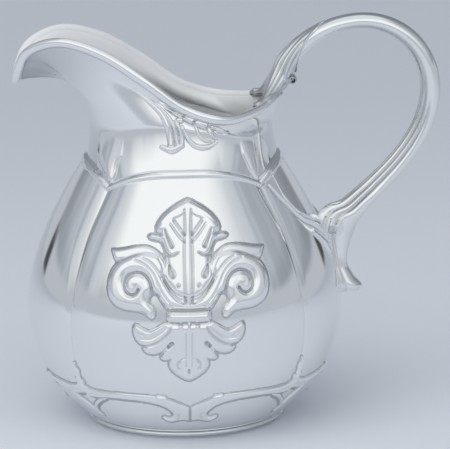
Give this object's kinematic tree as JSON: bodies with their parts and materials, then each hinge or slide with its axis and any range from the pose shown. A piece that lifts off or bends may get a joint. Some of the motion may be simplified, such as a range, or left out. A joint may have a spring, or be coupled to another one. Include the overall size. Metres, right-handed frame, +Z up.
{
  "type": "pitcher",
  "caption": "Polished aluminium water pitcher with a panelled bulb, drooping spout, leaf-wrapped loop handle and fleur-de-lis relief.",
  "frame": {"origin": "centre of the foot's flat underside, on the table", "axes": "+X from the bulb's axis towards the handle, so the spout points along -X; +Y towards the back panel, so the decorated front faces -Y; +Z up"},
  "size_m": [0.2385, 0.184, 0.2266],
  "materials": {
    "polished_aluminium": "hand-polished cast aluminium, bright, with faint buffing marks and greyer hollows",
    "satin_aluminium": "cast aluminium left less polished, greyer in its hollows"
  },
  "bodies": {
    "root": {"bulb": "polished_aluminium", "neck_spout": "polished_aluminium", "rim_bead": "polished_aluminium", "handle": "polished_aluminium", "fleur_front": "polished_aluminium", "fleur_back": "polished_aluminium", "neck_scroll_front": "polished_aluminium", "neck_scroll_back": "polished_aluminium", "root_vine_front": "polished_aluminium", "root_vine_back": "polished_aluminium", "base_scroll_front": "polished_aluminium", "base_scroll_back": "polished_aluminium", "base_scroll_handle_side": "polished_aluminium", "base_scroll_spout_side": "polished_aluminium", "corner_bud_front_left": "polished_aluminium", "corner_bud_front_right": "polished_aluminium", "corner_bud_back_left": "polished_aluminium", "corner_bud_back_right": "polished_aluminium", "base_disc": "satin_aluminium", "handle_leaf": "satin_aluminium"}
  },
  "joints": []
}
